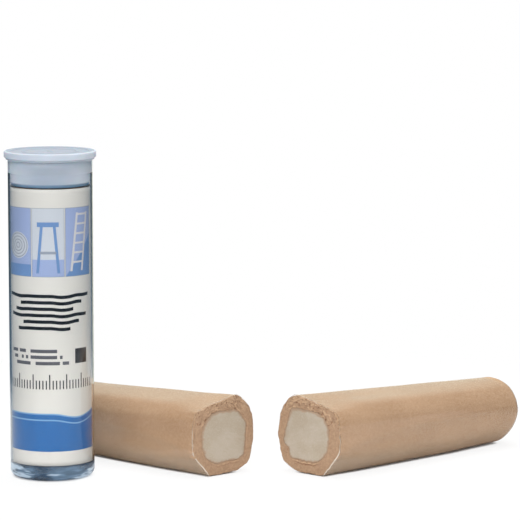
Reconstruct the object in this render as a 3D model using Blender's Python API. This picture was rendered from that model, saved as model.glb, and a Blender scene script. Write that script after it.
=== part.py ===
# A wood-repair epoxy putty stick as it is sold and as it is cut for use.
# A clear tube stands at the origin with a plug cap, a printed roll inside its wall and a fresh stick in film.
# Two cut sticks lie beside it, mirror images of each other, with their cut faces towards -Y.
# Metres, +Z up. The origin is the middle of the tube's flat base, on the surface that everything stands on.

from math import cos, pi, radians, sin, tan

import bmesh
import bpy
from mathutils import Vector

MM = 0.001

# Gaps that keep touching pieces apart
SLIDE_GAP = 0.3 * MM
SKIN_GAP = 0.2 * MM

# Clear tube, with a thick solid base
TUBE_DIAMETER = 25.0 * MM
TUBE_WALL = 0.5 * MM
TUBE_HEIGHT = 94.2 * MM
TUBE_BASE = 4.4 * MM
TUBE_FOOT_ROUND = 2.1 * MM
TUBE_FLOOR_ROUND = 0.2 * MM
TUBE_LIP_ROUND = 0.2 * MM
TURNED_SIDES = 48

# Plug cap: a flange on the tube's mouth and a hollow tapered plug inside it
CAP_DIAMETER = 27.2 * MM
CAP_TOP = 97.0 * MM
CAP_EDGE_ROUND = 0.6 * MM
CAP_STEP_HEIGHT = 0.6 * MM
CAP_STEP_INSET = 0.5 * MM
CAP_DISH_DEPTH = 0.35 * MM
CAP_DISH_RADIUS = 11.3 * MM
CAP_DISH_SLOPE = 0.4 * MM
CAP_DISC = 1.6 * MM
CAP_RING_RADIUS = 8.1 * MM
CAP_RING_WIDTH = 1.0 * MM
CAP_RING_RISE = 0.2 * MM
CAP_GATE_RADIUS = 1.0 * MM
PLUG_BOTTOM = 87.4 * MM
PLUG_TAPER = 0.4 * MM
PLUG_WALL = 0.9 * MM
PLUG_ROUND = 0.6 * MM

# Printed roll: a sheet rolled once inside the tube, its two edges meeting at a seam
ROLL_TOP = 86.6 * MM
ROLL_SHEET = 0.2 * MM
ROLL_SEAM_TURN = radians(35)
ROLL_SEAM_GAP = 0.6 * MM

# Stick: a jacket of one component round a core of the other, in a folded film
STICK_DIAMETER = 21.6 * MM
STICK_LENGTH = 82.0 * MM
FILM = 0.2 * MM
FILM_FOLD_HOLE = 1.5 * MM
CORE_RADIUS = 7.3 * MM

# Cut stick: facets pressed by hand at the cut end, as the turn of each facet's normal and its distance
# from the middle. Turn 0 is the flank that faces the viewer and 90 degrees is up.
CUT_FACETS = (
    (radians(0), 11.4 * MM),      # flank
    (radians(74), 10.8 * MM),     # top
    (radians(125), 13.6 * MM),    # back shoulder
    (radians(180), 11.5 * MM),    # back
    (radians(240), 12.5 * MM),    # back underside
    (radians(270), 11.4 * MM),    # the face that it lies on
    (radians(316), 12.5 * MM),    # front underside
)
FACET_SHARPNESS = 10
FAR_END_SCALE = 0.89              # the far end against the squeezed cut end
FAR_END_ROUNDNESS = 0.86          # how far the facets have faded to a circle there
FAR_END_ROUND = 4.0 * MM
CUT_SLANT = radians(7.4)          # the knife's slant across the stick
CUT_SLANT_FADE = 25.0 * MM
FILM_SET_BACK = 0.5 * MM          # the film's edge behind the cut face
CUT_CORE_WIDTH = 17.0 * MM
CUT_CORE_HEIGHT = 15.4 * MM
CUT_CORE_SQUARENESS = 2.6
CORE_END_SCALE = 0.76             # the core draws in at the rounded far end
CORE_END_FROM = 8.0 * MM
SECTION_POINTS = 36
BODY_STEPS = 5
CORNER_STEPS = 4
CORE_STEPS = 6

# Where the cut sticks lie
RIGHT_FACE_X = 76.5 * MM
CUT_FACE_Y = -1.0 * MM
CUT_TURN = radians(47.7)          # the stick's axis, turned away from +Y
MIRROR_X = 63.7 * MM

# Worked out from the above
TUBE_RADIUS = TUBE_DIAMETER / 2
BORE_RADIUS = TUBE_RADIUS - TUBE_WALL
FLANGE_BOTTOM = TUBE_HEIGHT + SLIDE_GAP
ROLL_RADIUS = BORE_RADIUS - SKIN_GAP
INSIDE_BOTTOM = TUBE_BASE + SLIDE_GAP
PUTTY_INSET = FILM + SKIN_GAP


def clear_scene():
    for old in list(bpy.data.objects):
        bpy.data.objects.remove(old)


def material(name, colour, roughness, transmission=0.0):
    made = bpy.data.materials.new(name)
    made.use_nodes = True
    shader = made.node_tree.nodes["Principled BSDF"]
    shader.inputs["Base Color"].default_value = (*colour, 1.0)
    shader.inputs["Roughness"].default_value = roughness
    shader.inputs["Metallic"].default_value = 0.0
    shader.inputs["Transmission Weight"].default_value = transmission
    return made


def empty(name, place, parent=None):
    made = bpy.data.objects.new(name, None)
    bpy.context.scene.collection.objects.link(made)
    made.parent = parent
    made.location = place
    return made


def finished(name, mesh_edit, surface, parent):
    # One object from an edited mesh: normals out, smooth but for its real corners
    bmesh.ops.recalc_face_normals(mesh_edit, faces=mesh_edit.faces)
    mesh = bpy.data.meshes.new(name)
    mesh_edit.to_mesh(mesh)
    mesh_edit.free()
    mesh.shade_smooth()
    mesh.set_sharp_from_angle(angle=radians(35))
    mesh.materials.append(surface)
    made = bpy.data.objects.new(name, mesh)
    bpy.context.scene.collection.objects.link(made)
    made.parent = parent
    return made


def arc(centre, radius, start, end, steps):
    # Points (radius from the axis, height) round a corner of a turned profile
    turns = [start + (end - start) * step / steps for step in range(steps + 1)]
    return [(centre[0] + radius * cos(turn), centre[1] + radius * sin(turn)) for turn in turns]


def turned(name, profile, surface, parent, closed=False):
    # A profile of (radius, height) points spun once round the Z axis
    edit = bmesh.new()
    points = [edit.verts.new((radius, 0, height)) for radius, height in profile]
    pairs = list(zip(points, points[1:]))
    if closed:
        pairs.append((points[-1], points[0]))
    edges = [edit.edges.new(pair) for pair in pairs]
    bmesh.ops.spin(edit, geom=points + edges, cent=(0, 0, 0), axis=(0, 0, 1), angle=2 * pi,
                   steps=TURNED_SIDES, use_merge=True)
    bmesh.ops.remove_doubles(edit, verts=edit.verts, dist=0.001 * MM)
    return finished(name, edit, surface, parent)


def lofted(name, loops, surface, parent, closed=False):
    # Loops of points skinned in order. An open loft has both its ends filled.
    edit = bmesh.new()
    rings = [[edit.verts.new(point) for point in loop] for loop in loops]
    pairs = list(zip(rings, rings[1:]))
    if closed:
        pairs.append((rings[-1], rings[0]))
    else:
        edit.faces.new(rings[0])
        edit.faces.new(rings[-1])
    for near, far in pairs:
        for index in range(len(near)):
            after = (index + 1) % len(near)
            edit.faces.new((near[index], near[after], far[after], far[index]))
    return finished(name, edit, surface, parent)


def clear_tube(surface, parent):
    foot = TUBE_FOOT_ROUND
    lip = TUBE_LIP_ROUND
    floor = TUBE_FLOOR_ROUND
    profile = [(0, TUBE_BASE)]
    profile += arc((BORE_RADIUS - floor, TUBE_BASE + floor), floor, -pi / 2, 0, 3)
    profile += arc((BORE_RADIUS + lip, TUBE_HEIGHT - lip), lip, pi, pi / 2, 2)
    profile += arc((TUBE_RADIUS - lip, TUBE_HEIGHT - lip), lip, pi / 2, 0, 2)
    profile += arc((TUBE_RADIUS - foot, foot), foot, 0, -pi / 2, 4)
    profile += [(0, 0)]
    return turned("clear_tube", profile, surface, parent)


def plug_cap(surface, parent):
    dish = CAP_TOP - CAP_DISH_DEPTH
    ring = dish + CAP_RING_RISE
    ring_half = CAP_RING_WIDTH / 2
    edge = CAP_EDGE_ROUND
    flange = CAP_DIAMETER / 2
    step = flange - CAP_STEP_INSET
    plug = BORE_RADIUS - SLIDE_GAP
    plug_end = plug - PLUG_TAPER
    ceiling = CAP_TOP - CAP_DISC
    profile = [(0, ring), (CAP_GATE_RADIUS - CAP_RING_RISE, ring), (CAP_GATE_RADIUS, dish)]
    profile += [(CAP_RING_RADIUS - ring_half, dish), (CAP_RING_RADIUS - ring_half + CAP_RING_RISE, ring)]
    profile += [(CAP_RING_RADIUS + ring_half - CAP_RING_RISE, ring), (CAP_RING_RADIUS + ring_half, dish)]
    profile += [(CAP_DISH_RADIUS, dish), (CAP_DISH_RADIUS + CAP_DISH_SLOPE, CAP_TOP)]
    profile += arc((flange - edge, CAP_TOP - edge), edge, pi / 2, 0, 3)
    profile += [(flange, FLANGE_BOTTOM + CAP_STEP_HEIGHT), (step, FLANGE_BOTTOM + CAP_STEP_HEIGHT)]
    profile += [(step, FLANGE_BOTTOM), (plug, FLANGE_BOTTOM)]
    profile += arc((plug_end - PLUG_ROUND, PLUG_BOTTOM + PLUG_ROUND), PLUG_ROUND, 0, -pi / 2, 3)
    profile += [(plug_end - PLUG_WALL, PLUG_BOTTOM + PLUG_ROUND / 2)]
    profile += [(plug - PLUG_WALL, ceiling), (0, ceiling)]
    return turned("plug_cap", profile, surface, parent)


def printed_roll(surface, parent):
    # A ring of sheet, cut through at its seam
    half_gap = ROLL_SEAM_GAP / 2 / ROLL_RADIUS
    sweep = 2 * pi - 2 * half_gap
    turns = [ROLL_SEAM_TURN + half_gap + sweep * step / TURNED_SIDES for step in range(TURNED_SIDES + 1)]
    inner = ROLL_RADIUS - ROLL_SHEET
    corners = ((ROLL_RADIUS, INSIDE_BOTTOM), (ROLL_RADIUS, ROLL_TOP), (inner, ROLL_TOP), (inner, INSIDE_BOTTOM))
    loops = [[(radius * cos(turn), radius * sin(turn), height) for radius, height in corners] for turn in turns]
    return lofted("printed_roll", loops, surface, parent)


def fresh_stick(surfaces, parent):
    # The whole stick in the tube, its film folded over both ends with a small hole left in each fold
    radius = STICK_DIAMETER / 2
    low = INSIDE_BOTTOM
    high = low + STICK_LENGTH
    within = radius - FILM
    film = [(FILM_FOLD_HOLE, high), (radius, high), (radius, low), (FILM_FOLD_HOLE, low)]
    film += [(FILM_FOLD_HOLE, low + FILM), (within, low + FILM), (within, high - FILM)]
    film += [(FILM_FOLD_HOLE, high - FILM)]
    jacket = radius - PUTTY_INSET
    top = high - PUTTY_INSET
    bottom = low + PUTTY_INSET
    bore = CORE_RADIUS + SKIN_GAP
    tube = [(bore, top), (jacket, top), (jacket, bottom), (bore, bottom)]
    rod = [(0, top), (CORE_RADIUS, top), (CORE_RADIUS, bottom), (0, bottom)]
    turned("stick_film", film, surfaces["film"], parent, closed=True)
    turned("stick_jacket", tube, surfaces["jacket"], parent, closed=True)
    turned("stick_core", rod, surfaces["core"], parent)


def facet_radius(turn):
    # A rounded polygon: the facets' distances joined by a power mean, so the corners between them are soft
    total = 0.0
    for normal, distance in CUT_FACETS:
        total += (max(cos(turn - normal), 0.0) / distance) ** FACET_SHARPNESS
    return total ** (-1 / FACET_SHARPNESS)


def core_radius(turn):
    wide = abs(cos(turn)) / (CUT_CORE_WIDTH / 2)
    tall = abs(sin(turn)) / (CUT_CORE_HEIGHT / 2)
    return (wide ** CUT_CORE_SQUARENESS + tall ** CUT_CORE_SQUARENESS) ** (-1 / CUT_CORE_SQUARENESS)


SECTION_TURNS = [2 * pi * index / SECTION_POINTS for index in range(SECTION_POINTS)]
FACET_RADII = [facet_radius(turn) for turn in SECTION_TURNS]
MEAN_FACET_RADIUS = sum(FACET_RADII) / SECTION_POINTS


def outer_radii(along):
    # The film's outside at a distance along the stick, from the facetted cut end to the rounder far end
    share = min(along / STICK_LENGTH, 1.0)
    scale = 1 - (1 - FAR_END_SCALE) * share
    fade = FAR_END_ROUNDNESS * share
    return [scale * (radius + (MEAN_FACET_RADIUS - radius) * fade) for radius in FACET_RADII]


def core_radii(along):
    share = min(along / STICK_LENGTH, 1.0)
    scale = 1 - (1 - FAR_END_SCALE) * share
    end = max(0.0, (along - (STICK_LENGTH - CORE_END_FROM)) / CORE_END_FROM)
    scale *= 1 - (1 - CORE_END_SCALE) * min(end, 1.0)
    return [scale * core_radius(turn) for turn in SECTION_TURNS]


def lie_height(along):
    # The height of the stick's middle when its lowest facet touches the surface all along
    radii = outer_radii(along)
    return max(-radius * sin(turn) for radius, turn in zip(radii, SECTION_TURNS))


def section(along, radii, face, side):
    # One loop of points across the stick. Near the cut the loop leans with the knife's slant.
    axis = Vector((side * sin(CUT_TURN), cos(CUT_TURN), 0))
    across = Vector((side * cos(CUT_TURN), -sin(CUT_TURN), 0))
    lean = tan(CUT_SLANT) * max(0.0, 1 - along / CUT_SLANT_FADE)
    middle = lie_height(along)
    loop = []
    for radius, turn in zip(radii, SECTION_TURNS):
        width = radius * cos(turn)
        rise = Vector((0, 0, middle + radius * sin(turn)))
        loop.append(face + axis * (along + lean * width) + across * width + rise)
    return loop


def skin_rows(start, inset):
    # Rows of (distance along, inset from the film's outside), from the cut end round the far end's corner
    corner = FAR_END_ROUND - inset
    straight = STICK_LENGTH - FAR_END_ROUND
    rows = [(start + (straight - start) * step / BODY_STEPS, inset) for step in range(BODY_STEPS + 1)]
    for step in range(1, CORNER_STEPS + 1):
        turn = pi / 2 * step / CORNER_STEPS
        rows.append((straight + corner * sin(turn), inset + corner * (1 - cos(turn))))
    return rows


def skin_loops(start, inset, face, side):
    return [section(along, [radius - drop for radius in outer_radii(along)], face, side)
            for along, drop in skin_rows(start, inset)]


def core_loops(start, end, extra, face, side):
    places = [start + (end - start) * step / CORE_STEPS for step in range(CORE_STEPS + 1)]
    return [section(along, [radius + extra for radius in core_radii(along)], face, side) for along in places]


def cut_stick(name, side, surfaces, parent, face):
    # side is 1 for the stick that points right and -1 for its mirror image
    end = STICK_LENGTH - PUTTY_INSET
    film_outside = skin_loops(FILM_SET_BACK, 0.0, face, side)
    film_inside = skin_loops(FILM_SET_BACK, FILM, face, side)
    jacket_outside = skin_loops(0.0, PUTTY_INSET, face, side)
    bore = core_loops(0.0, end, SKIN_GAP, face, side)
    core = core_loops(0.0, end, 0.0, face, side)
    lofted(name + "_film", film_outside[::-1] + film_inside, surfaces["film"], parent)
    lofted(name + "_jacket", jacket_outside + bore[::-1], surfaces["jacket"], parent, closed=True)
    lofted(name + "_core", core, surfaces["core"], parent)


def build():
    clear_scene()
    clear = material("clear_styrene", (0.80, 0.88, 0.94), 0.08, transmission=1.0)
    frosted = material("frosted_polythene", (0.60, 0.66, 0.73), 0.35)
    paper = material("printed_paper", (0.72, 0.71, 0.68), 0.45)
    surfaces = {
        "film": material("clear_film", (0.85, 0.80, 0.72), 0.25, transmission=0.9),
        "jacket": material("tan_putty", (0.53, 0.37, 0.25), 0.6),
        "core": material("pale_putty", (0.52, 0.45, 0.35), 0.65),
    }
    tube = empty("tube_frame", (0, 0, 0))
    stick = empty("stick_slide", (0, 0, 0), tube)
    cap = empty("cap_pull", (0, 0, 0), stick)
    clear_tube(clear, tube)
    printed_roll(paper, tube)
    fresh_stick(surfaces, stick)
    plug_cap(frosted, cap)
    left_x = 2 * MIRROR_X - RIGHT_FACE_X
    for name, side, face_x in (("left", -1, left_x), ("right", 1, RIGHT_FACE_X)):
        lift = empty(name + "_lift", (face_x, CUT_FACE_Y, 0), tube)
        cut_stick(name, side, surfaces, lift, Vector((0, 0, 0)))


build()
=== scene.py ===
import bpy
import numpy as np
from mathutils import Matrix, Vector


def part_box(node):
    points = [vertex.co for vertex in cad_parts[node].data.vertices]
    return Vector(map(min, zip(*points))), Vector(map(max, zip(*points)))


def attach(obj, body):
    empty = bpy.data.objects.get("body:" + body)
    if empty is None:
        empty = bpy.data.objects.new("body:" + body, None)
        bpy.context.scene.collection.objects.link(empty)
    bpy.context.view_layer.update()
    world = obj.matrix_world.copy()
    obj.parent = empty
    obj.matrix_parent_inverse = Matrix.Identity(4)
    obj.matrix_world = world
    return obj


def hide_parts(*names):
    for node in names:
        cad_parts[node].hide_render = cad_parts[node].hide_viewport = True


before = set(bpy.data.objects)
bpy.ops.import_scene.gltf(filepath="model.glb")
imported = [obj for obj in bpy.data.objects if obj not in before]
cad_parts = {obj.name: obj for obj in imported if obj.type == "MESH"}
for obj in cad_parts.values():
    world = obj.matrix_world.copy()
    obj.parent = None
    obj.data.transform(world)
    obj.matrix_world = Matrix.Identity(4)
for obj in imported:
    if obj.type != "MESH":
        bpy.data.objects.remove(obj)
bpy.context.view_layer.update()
mm = 0.001
quarterTurn = np.pi / 2
halfTurn = np.pi
fullTurn = 2 * np.pi
join = np.concatenate
lattice = {"size": 8192, "shift": 31.7, "primes": (73856093, 19349663, 83492791)}
print("frame loaded")


# Meshes from grids of points

def placed(name, data):
    # a new object in the scene, at the origin
    made = bpy.data.objects.new(name, data)
    bpy.context.scene.collection.objects.link(made)
    return made


def gridObject(name, points, poles=(), uv=None, marks=None):
    # quads between neighbouring grid points, closed across the columns; two poles close the first and the
    # last row with fans of triangles, and without poles the rows close on themselves
    rows, cols = points.shape[:2]
    index = np.arange(rows * cols).reshape(rows, cols)
    index = np.hstack([index, index[:, :1]])
    if not poles:
        index = np.vstack([index, index[:1]])
    quads = np.stack([index[:-1, :-1], index[:-1, 1:], index[1:, 1:], index[1:, :-1]], -1)
    polygons = quads.reshape(-1, 4).tolist()
    verts = points.reshape(-1, 3)
    for pole, ring in zip(poles, (index[0, ::-1], index[-1])):
        tip = np.full(len(ring) - 1, len(verts))
        polygons += np.stack([ring[:-1], ring[1:], tip], -1).tolist()
        verts = np.vstack([verts, pole])
    mesh = bpy.data.meshes.new(name)
    mesh.from_pydata(verts, [], polygons)
    mesh.polygons.foreach_set("use_smooth", np.ones(len(mesh.polygons), bool))
    spare = len(verts) - rows * cols
    if uv is not None:
        corner = np.zeros(len(mesh.loops), np.int32)
        mesh.loops.foreach_get("vertex_index", corner)
        flat = np.vstack([uv.reshape(-1, 2), np.zeros((spare, 2))])[corner]
        mesh.uv_layers.new(name="surface").data.foreach_set("uv", flat.astype(np.float32).ravel())
    for key, values in (marks or {}).items():
        flat = join([values.reshape(-1), np.zeros(spare)])
        mesh.attributes.new(key, "FLOAT", "POINT").data.foreach_set("value", flat.astype(np.float32))
    mesh.update()
    faceOut(mesh)
    return placed(name, mesh)


def faceOut(mesh):
    # a closed surface whose signed volume is negative is inside out
    mesh.calc_loop_triangles()
    corners = np.zeros(len(mesh.loop_triangles) * 3, np.int32)
    mesh.loop_triangles.foreach_get("vertices", corners)
    place = np.zeros(len(mesh.vertices) * 3, np.float32)
    mesh.vertices.foreach_get("co", place)
    a, b, c = place.reshape(-1, 3)[corners.reshape(-1, 3)].astype(float).transpose(1, 0, 2)
    if np.sum(a * np.cross(b, c)) < 0:
        mesh.flip_normals()


def filleted(points, steps):
    # a profile of (radius, height, fillet): each corner becomes an arc that is tangent to both its sides
    corners = np.array(points, float)
    made = [corners[0, :2]]
    for before, corner, after in zip(corners, corners[1:], corners[2:]):
        into = (before - corner)[:2]
        away = (after - corner)[:2]
        into /= np.linalg.norm(into)
        away /= np.linalg.norm(away)
        half = np.arccos(np.clip(into @ away, -1, 1)) / 2
        size = corner[2]
        middle = (into + away) / np.linalg.norm(into + away)
        centre = corner[:2] + middle * size / np.sin(half)
        start = corner[:2] + into * size / np.tan(half) - centre
        end = corner[:2] + away * size / np.tan(half) - centre
        sweep = np.arctan2(start[0] * end[1] - start[1] * end[0], start @ end)
        turn = np.linspace(0, sweep, steps + 1)
        arcX = start[0] * np.cos(turn) - start[1] * np.sin(turn)
        arcY = start[0] * np.sin(turn) + start[1] * np.cos(turn)
        made += list(centre + np.stack([arcX, arcY], -1))
    made.append(corners[-1, :2])
    return np.array(made)


def turnedObject(name, profile, sides):
    # profile (radius, height) carried round Z: x = r cos t, y = r sin t; its ends on the axis become poles
    turn = np.linspace(0, fullTurn, sides, endpoint=False)
    radius, height = (profile[1:-1, axis, None] * np.ones_like(turn) for axis in (0, 1))
    points = np.stack([radius * np.cos(turn), radius * np.sin(turn), height], -1)
    return gridObject(name, points, poles=[(0, 0, profile[end, 1]) for end in (0, -1)])


def ease(value):
    # 0 to 1 with a soft start and a soft end
    value = np.clip(value, 0, 1)
    return value * value * (3 - 2 * value)


def grain(points, cell, seed, octaves):
    # value noise from -1 to 1: random numbers on a lattice, blended smoothly between its points; each
    # further octave has half the size and half the weight of the one before
    table = np.random.default_rng(seed).uniform(-1, 1, lattice["size"])
    total = np.zeros(points.shape[:-1])
    weight = 1.0
    for octave in range(octaves):
        place = points / cell * 2 ** octave + lattice["shift"] * octave
        low = np.floor(place).astype(np.int64)
        part = ease(place - low)
        blend = np.zeros(points.shape[:-1])
        for corner in np.ndindex(2, 2, 2):
            at = (low + corner) * lattice["primes"]
            key = (at[..., 0] ^ at[..., 1] ^ at[..., 2]) & (lattice["size"] - 1)
            share = np.prod(np.where(corner, part, 1 - part), -1)
            blend += share * table[key]
        total += weight * blend
        weight *= 0.5
    return total


# Shader maths

def srgb(red, green, blue):
    # a colour as a screen shows it, 0 to 255, in the linear light that shaders use
    share = np.array([red, green, blue]) / 255
    linear = np.where(share <= 0.04045, share / 12.92, ((share + 0.055) / 1.055) ** 2.4)
    return (*linear.tolist(), 1.0)


def offset(level, edges):
    # places given by their distances from a level
    return [level + edge for edge in edges]


def mathMethod(operation, flipped=False):
    # a method that puts a wire and its operands into one Math node
    return lambda wire, *others: wire.math(operation, *others, flipped=flipped)


class Wire:
    # a socket that takes part in Python expressions: every operator adds a Math node
    def __init__(self, graph, socket):
        self.graph = graph
        self.socket = socket

    def math(self, operation, *others, flipped=False):
        values = (self, *others)[::-1] if flipped else (self, *others)
        return self.graph.add("ShaderNodeMath", {"operation": operation}, dict(enumerate(values)))

    __add__ = __radd__ = mathMethod("ADD")
    __sub__ = mathMethod("SUBTRACT")
    __rsub__ = mathMethod("SUBTRACT", flipped=True)
    __mul__ = __rmul__ = mathMethod("MULTIPLY")
    __truediv__ = mathMethod("DIVIDE")
    __pow__ = mathMethod("POWER")
    __gt__ = mathMethod("GREATER_THAN")
    __lt__ = mathMethod("LESS_THAN")
    __abs__ = mathMethod("ABSOLUTE")
    near = mathMethod("COMPARE")
    most = mathMethod("MAXIMUM")
    floor = mathMethod("FLOOR")


class Graph:
    # the node tree of a material or of the world
    def __init__(self, name=None, world=None):
        self.owner = world or bpy.data.materials.new(name)
        self.owner.use_nodes = True
        self.tree = self.owner.node_tree
        self.tree.nodes.clear()

    def add(self, kind, settings=None, sockets=None, out=0):
        node = self.tree.nodes.new(kind)
        for key, value in (settings or {}).items():
            setattr(node, key, value)
        for key, value in (sockets or {}).items():
            if isinstance(value, Wire):
                self.tree.links.new(value.socket, node.inputs[key])
            else:
                node.inputs[key].default_value = value
        return Wire(self, node.outputs[out]) if node.outputs else None

    def place(self, kind="Object"):
        return self.add("ShaderNodeTexCoord", out=kind)

    def axes(self, kind="Object"):
        place = self.place(kind)
        return [self.add("ShaderNodeSeparateXYZ", {}, {0: place}, out=axis) for axis in range(3)]

    def mark(self, key):
        return self.add("ShaderNodeAttribute", {"attribute_name": key}, out="Fac")

    def ray(self, kind):
        return self.add("ShaderNodeLightPath", out=kind)

    def noise(self, scale, detail, rough=0.5, stretch=None, vector=None):
        vector = vector or self.place()
        if stretch:
            vector = self.add("ShaderNodeMapping", {}, {"Vector": vector, "Scale": stretch})
        sockets = {"Vector": vector, "Scale": scale, "Detail": detail, "Roughness": rough}
        return self.add("ShaderNodeTexNoise", {}, sockets)

    def mix(self, share, low, high):
        return self.add("ShaderNodeMix", {"data_type": "RGBA"}, {0: share, 6: low, 7: high}, out=2)

    def band(self, value, low, high, start=0.0, end=1.0):
        sockets = {"Value": value, 1: low, 2: high, 3: start, 4: end}
        return self.add("ShaderNodeMapRange", {"interpolation_type": "SMOOTHSTEP"}, sockets)

    def bump(self, height, strength, distance):
        sockets = {"Height": height, "Strength": strength, "Distance": distance}
        return self.add("ShaderNodeBump", {}, sockets)

    def principled(self, **sockets):
        named = {key.replace("_", " "): value for key, value in sockets.items()}
        return self.add("ShaderNodeBsdfPrincipled", {}, named)

    def blend(self, share, first, second):
        return self.add("ShaderNodeMixShader", {}, {0: share, 1: first, 2: second})

    def lampsPass(self, surface, tint):
        # no bar to lamps, which shine straight through
        through = self.add("ShaderNodeBsdfTransparent", {}, {"Color": tint})
        return self.blend(self.ray("Is Shadow Ray"), surface, through)

    def output(self, surface, volume=None, kind="Material"):
        sockets = {"Surface": surface}
        if volume:
            sockets["Volume"] = volume
        self.add("ShaderNodeOutput" + kind, {}, sockets)
        return self.owner


def dress(piece, surface, body, slot, *nodes):
    # its material, the body it moves with and the solids it stands for; the slot argument is not used
    piece.data.materials.append(surface)
    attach(piece, body)
    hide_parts(*nodes)


# Clear tube

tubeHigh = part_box("clear_tube")[1]
tube = {
    "radius": tubeHigh.x, "height": tubeHigh.z, "wall": 0.5 * mm, "base": 4.4 * mm,
    "foot": 2.1 * mm, "floorRound": 0.35 * mm, "lip": 0.2 * mm, "arcSteps": 10, "sides": 256,
    "punt": 0.25 * mm, "puntRadius": 7.5 * mm, "puntSlope": 1.5 * mm,
    "tint": srgb(254, 254, 255), "roughness": 0.03, "ior": 1.49,
    "absorb": (0.58, 0.66, 0.72, 1.0), "density": 80.0,
    "ripple": (60, 1, 0.5, (1, 1, 0.15)), "rippleShare": 0.08,
    "baseFade": (-0.5 * mm, 0.5 * mm), "baseRoughness": 0.05, "baseBump": (0.5, 0.4 * mm),
    "streak": (150, 2, 0.5, (1, 1, 5)),
    "patch": (110, 3, 0.6, (1, 1, 2.5)), "patchEdge": (0.40, 0.58),
    # colours of the base's painted refraction: painted shade, a middle tone and painted light
    "paintedRefractionShade": srgb(44, 70, 96), "paintedRefraction": srgb(98, 126, 152), "paintedRefractionLight": srgb(176, 195, 212),
    "paleEdge": (0.52, 0.66), "paleSides": 0.15, "paleLeft": 0.05, "darkFront": 0.06,
    "paintedRefractionEdge": (0.35, 0.65), "paintedRefractionShare": (0.6, 0.97), "paintedRefractionRoughness": 0.3,
}


def clearStyrene():
    # glass that lets lamps through, darker where light has far to go in it
    g = Graph("clearStyrene")
    x, high = g.axes()[::2]
    inBase = g.band(high, *offset(tube["base"], tube["baseFade"]), 1.0, 0.0)
    streak = g.noise(*tube["streak"])
    lumps = g.noise(*tube["ripple"]) * tube["rippleShare"] + streak * inBase
    clear = g.principled(Base_Color=tube["tint"], IOR=tube["ior"], Transmission_Weight=1.0,
                         Roughness=inBase * tube["baseRoughness"] + tube["roughness"],
                         Normal=g.bump(lumps, *tube["baseBump"]))
    # the thick base gets painted refraction: streaks of painted light and painted shade, palest at its sides
    # and to the left
    patch = g.noise(*tube["patch"])
    tone = g.mix(g.band(patch, *tube["patchEdge"]), tube["paintedRefractionShade"], tube["paintedRefraction"])
    side = x / tube["radius"]
    # painted light towards the sides and towards the left
    pale = streak + side ** 2 * tube["paleSides"] - side * tube["paleLeft"] - tube["darkFront"]
    tone = g.mix(g.band(pale, *tube["paleEdge"]), tone, tube["paintedRefractionLight"])
    paintedRefraction = g.principled(Base_Color=tone, Roughness=tube["paintedRefractionRoughness"])
    share = inBase * g.band(streak, *tube["paintedRefractionEdge"], *tube["paintedRefractionShare"])
    depth = g.add("ShaderNodeVolumeAbsorption", {}, {"Color": tube["absorb"], "Density": tube["density"]})
    return g.output(g.lampsPass(g.blend(share, clear, paintedRefraction), tube["tint"]), depth)


def buildTube():
    # from the floor up the bore, over the lip, down the outside and under the foot
    bore = tube["radius"] - tube["wall"]
    top = tube["height"]
    profile = filleted([
        (0, tube["base"], 0), (bore, tube["base"], tube["floorRound"]),
        (bore, top, tube["lip"]), (tube["radius"], top, tube["lip"]),
        (tube["radius"], 0, tube["foot"]), (tube["puntRadius"], 0, 0.3 * mm),
        (tube["puntRadius"] - tube["puntSlope"], tube["punt"], 0.5 * mm), (0, tube["punt"], 0),
    ], tube["arcSteps"])
    made = turnedObject("tubeShell", profile, tube["sides"])
    dress(made, clearStyrene(), "tube", "clear_styrene", "clear_tube")
    print("tube", len(made.data.polygons))


buildTube()


# Plug cap

capLow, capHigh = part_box("plug_cap")
cap = {
    "radius": capHigh.x, "high": capHigh.z, "plugEnd": capLow.z - 0.6 * mm, "flange": 2.5 * mm,
    "step": 0.6 * mm, "stepInset": 0.5 * mm, "stepSlope": 0.1 * mm,
    "dish": 0.35 * mm, "dishRadius": 11.3 * mm, "dishSlope": 0.4 * mm, "thick": 1.6 * mm,
    "ringRadius": 8.1 * mm, "ringHalf": 0.5 * mm, "ringRise": 0.2 * mm, "ringRound": 0.08 * mm,
    "gate": 1.0 * mm, "plugRadius": 12.02 * mm, "plugTaper": 0.5 * mm, "taperHigh": 4.0 * mm,
    "wall": 0.9 * mm, "arcSteps": 7, "sides": 256,
    # colours with painted light and shade: a darker top disc, lighter plug sides and a dark band at the
    # plug's end
    "colour": srgb(206, 215, 225), "shade": srgb(194, 205, 218), "discPaintedShade": srgb(159, 168, 179),
    "plug": srgb(174, 184, 196), "plugSidePaintedLight": srgb(238, 246, 253), "foot": srgb(114, 142, 167),
    "flangeFade": (-0.4 * mm, 0.3 * mm), "rimFade": (-0.8 * mm, -0.1 * mm),
    "neckLightFade": (-2.2 * mm, -0.3 * mm), "neckLightShare": (0.0, 0.6), "gapShadowFade": (0.7 * mm, 1.3 * mm),
    "cloud": (140, 3), "cloudEdge": (0.35, 0.65, 0.0, 0.5), "cloudShine": 0.12,
    "fine": (2600, 2), "fineBump": (0.12, 0.05 * mm),
    "roughness": 0.72, "specular": 0.12, "scatter": 0.2, "scatterDepth": 1.5 * mm,
}


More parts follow.
